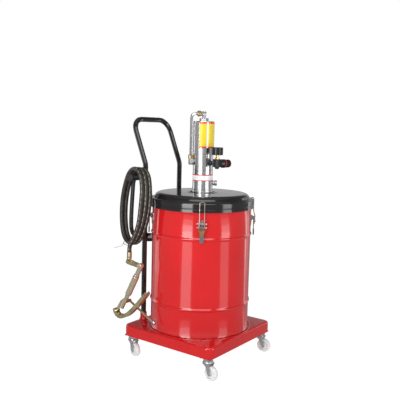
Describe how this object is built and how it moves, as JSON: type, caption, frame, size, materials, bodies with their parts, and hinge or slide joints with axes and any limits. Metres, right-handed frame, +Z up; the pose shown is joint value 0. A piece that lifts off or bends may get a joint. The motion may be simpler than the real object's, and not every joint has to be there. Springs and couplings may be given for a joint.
{
  "type": "air operated oil pump",
  "caption": "Air-operated piston oil pump on a castered drum trolley, with a latched lid, air regulator and gauge, push handle, and a coiled hose with a swivelling control gun.",
  "frame": {"origin": "on the floor, under the centre of the assembly's box measured without the hose and its gun", "axes": "+Z up, +X to the right of someone standing in front of the drum, +Y towards the push handle"},
  "size_m": [0.4083, 0.4637, 0.8765],
  "materials": {
    "black_paint": "glossy black enamel",
    "black_plastic": "black moulded",
    "brass": "turned",
    "chrome": "polished",
    "gauge_glass": "clear",
    "hose_rubber": "smooth hose cover",
    "red_paint": "glossy red enamel",
    "signal_red": "red needle",
    "wheel_plastic": "off-white, slightly translucent",
    "zinc_steel": "zinc plated, slightly warm"
  },
  "bodies": {
    "trolley": {"air_inlet_elbow": "zinc_steel", "air_tube": "chrome", "drum_lid": "black_paint", "drum_shell": "red_paint", "foot_strainer": "zinc_steel", "gauge_case": "black_plastic", "gauge_glass": "gauge_glass", "gauge_stem": "brass", "handle_brace_left": "black_paint", "handle_brace_right": "black_paint", "hose_coil": "hose_rubber", "hose_feed": "hose_rubber", "hose_ferrule": "chrome", "hose_hanger": "black_paint", "hose_tail": "hose_rubber", "lid_gasket": "hose_rubber", "lid_nut": "zinc_steel", "motor_cap": "chrome", "motor_cylinder": "chrome", "outlet_plug": "chrome", "outlet_union": "zinc_steel", "pump_head": "chrome", "push_handle": "black_paint", "regulator_body": "black_plastic", "suction_tube": "zinc_steel", "top_elbow": "chrome", "top_nut": "zinc_steel", "trolley_deck": "red_paint", "tube_nut_lower": "brass", "tube_nut_upper": "brass", "valve_housing": "chrome"},
    "caster_front_left": {"caster_fork_front_left": "zinc_steel"},
    "wheel_front_left": {"caster_wheel_front_left": "wheel_plastic"},
    "caster_front_right": {"caster_fork_front_right": "zinc_steel"},
    "wheel_front_right": {"caster_wheel_front_right": "wheel_plastic"},
    "caster_rear_right": {"caster_fork_rear_right": "zinc_steel"},
    "wheel_rear_right": {"caster_wheel_rear_right": "wheel_plastic"},
    "caster_rear_left": {"caster_fork_rear_left": "zinc_steel"},
    "wheel_rear_left": {"caster_wheel_rear_left": "wheel_plastic"},
    "latch_lever_front": {"latch_lever_front": "zinc_steel"},
    "latch_bail_front": {"latch_bail_front": "zinc_steel"},
    "latch_lever_right": {"latch_lever_right": "zinc_steel"},
    "latch_bail_right": {"latch_bail_right": "zinc_steel"},
    "latch_lever_back": {"latch_lever_back": "zinc_steel"},
    "latch_bail_back": {"latch_bail_back": "zinc_steel"},
    "latch_lever_left": {"latch_lever_left": "zinc_steel"},
    "latch_bail_left": {"latch_bail_left": "zinc_steel"},
    "piston": {"piston_rod": "zinc_steel"},
    "foot_ball": {"foot_valve_ball": "zinc_steel"},
    "regulator_knob": {"regulator_knob": "black_plastic"},
    "gauge_needle": {"gauge_needle": "signal_red"},
    "gun_swivel": {"swivel_arm": "chrome"},
    "control_gun": {"gun_body": "chrome", "nozzle_elbow": "zinc_steel", "nozzle_coupler": "zinc_steel"},
    "gun_trigger": {"gun_trigger": "zinc_steel"}
  },
  "joints": [
    {"name": "caster_swivel_front_left", "type": "hinge", "parent": "trolley", "child": "caster_front_left", "pos_m": [-0.1623, 0.1416, 0], "axis": [0, 0, 1], "continuous": true},
    {"name": "wheel_spin_front_left", "type": "hinge", "parent": "caster_front_left", "child": "wheel_front_left", "pos_m": [-0.16557, 0.12799, 0.025], "axis": [0.9724, -0.2334, 0], "continuous": true},
    {"name": "caster_swivel_front_right", "type": "hinge", "parent": "trolley", "child": "caster_front_right", "pos_m": [-0.1623, -0.1904, 0], "axis": [0, 0, 1], "continuous": true},
    {"name": "wheel_spin_front_right", "type": "hinge", "parent": "caster_front_right", "child": "wheel_front_right", "pos_m": [-0.16315, -0.20437, 0.025], "axis": [0.9981, -0.061, 0], "continuous": true},
    {"name": "caster_swivel_rear_right", "type": "hinge", "parent": "trolley", "child": "caster_rear_right", "pos_m": [0.1697, -0.1904, 0], "axis": [0, 0, 1], "continuous": true},
    {"name": "wheel_spin_rear_right", "type": "hinge", "parent": "caster_rear_right", "child": "wheel_rear_right", "pos_m": [0.17273, -0.20407, 0.025], "axis": [0.9763, 0.2164, 0], "continuous": true},
    {"name": "caster_swivel_rear_left", "type": "hinge", "parent": "trolley", "child": "caster_rear_left", "pos_m": [0.1697, 0.1416, 0], "axis": [0, 0, 1], "continuous": true},
    {"name": "wheel_spin_rear_left", "type": "hinge", "parent": "caster_rear_left", "child": "wheel_rear_left", "pos_m": [0.16848, 0.12765, 0.025], "axis": [0.9962, -0.0872, 0], "continuous": true},
    {"name": "latch_open_front", "type": "hinge", "parent": "trolley", "child": "latch_lever_front", "pos_m": [-0.14503, -0.13826, 0.5065], "axis": [-0.5976, 0.8018, 0], "range_deg": [0, 120]},
    {"name": "bail_turn_front", "type": "hinge", "parent": "latch_lever_front", "child": "latch_bail_front", "pos_m": [-0.1484, -0.14077, 0.4945], "axis": [-0.5976, 0.8018, 0], "range_deg": [-120, 0]},
    {"name": "latch_open_right", "type": "hinge", "parent": "trolley", "child": "latch_lever_right", "pos_m": [0.11456, -0.17613, 0.5065], "axis": [-0.8018, -0.5976, 0], "range_deg": [0, 120]},
    {"name": "bail_turn_right", "type": "hinge", "parent": "latch_lever_right", "child": "latch_bail_right", "pos_m": [0.11707, -0.1795, 0.4945], "axis": [-0.8018, -0.5976, 0], "range_deg": [-120, 0]},
    {"name": "latch_open_back", "type": "hinge", "parent": "trolley", "child": "latch_lever_back", "pos_m": [0.15243, 0.08346, 0.5065], "axis": [0.5976, -0.8018, 0], "range_deg": [0, 120]},
    {"name": "bail_turn_back", "type": "hinge", "parent": "latch_lever_back", "child": "latch_bail_back", "pos_m": [0.1558, 0.08597, 0.4945], "axis": [0.5976, -0.8018, 0], "range_deg": [-120, 0]},
    {"name": "latch_open_left", "type": "hinge", "parent": "trolley", "child": "latch_lever_left", "pos_m": [-0.10716, 0.12133, 0.5065], "axis": [0.8018, 0.5976, 0], "range_deg": [0, 120]},
    {"name": "bail_turn_left", "type": "hinge", "parent": "latch_lever_left", "child": "latch_bail_left", "pos_m": [-0.10967, 0.1247, 0.4945], "axis": [0.8018, 0.5976, 0], "range_deg": [-120, 0]},
    {"name": "piston_stroke", "type": "slide", "parent": "trolley", "child": "piston", "axis": [0, 0, 1], "range_m": [-0.055, 0]},
    {"name": "ball_lift", "type": "slide", "parent": "trolley", "child": "foot_ball", "axis": [0, 0, 1], "range_m": [0, 0.006]},
    {"name": "regulator_turn", "type": "hinge", "parent": "trolley", "child": "regulator_knob", "pos_m": [-0.0178, -0.10238, 0.697], "axis": [0.9613, -0.2756, 0], "range_deg": [0, 1080]},
    {"name": "needle_turn", "type": "hinge", "parent": "trolley", "child": "gauge_needle", "pos_m": [-0.0178, -0.10238, 0.7481], "axis": [0, 0, -1], "range_deg": [0, 270], "stiffness_Nm_per_rad": 0.0005, "springref_deg": -34.38},
    {"name": "hose_swivel", "type": "hinge", "parent": "trolley", "child": "gun_swivel", "pos_m": [-0.1943, 0.1351, 0.348], "axis": [0, 0, 1], "range_deg": [-60, 0]},
    {"name": "gun_swing", "type": "hinge", "parent": "gun_swivel", "child": "control_gun", "pos_m": [-0.1943, 0.0811, 0.34], "axis": [0, -0.9892, -0.1465], "range_deg": [-60, 0]},
    {"name": "trigger_squeeze", "type": "hinge", "parent": "control_gun", "child": "gun_trigger", "pos_m": [-0.1943, 0.1926, 0.162], "axis": [-1, 0, 0], "range_deg": [0, 12], "stiffness_Nm_per_rad": 0.6, "springref_deg": -20.05}
  ],
  "couplings": [
    {"joint": "bail_turn_front", "follows": "latch_open_front", "ratio": -1},
    {"joint": "bail_turn_right", "follows": "latch_open_right", "ratio": -1},
    {"joint": "bail_turn_back", "follows": "latch_open_back", "ratio": -1},
    {"joint": "bail_turn_left", "follows": "latch_open_left", "ratio": -1}
  ]
}
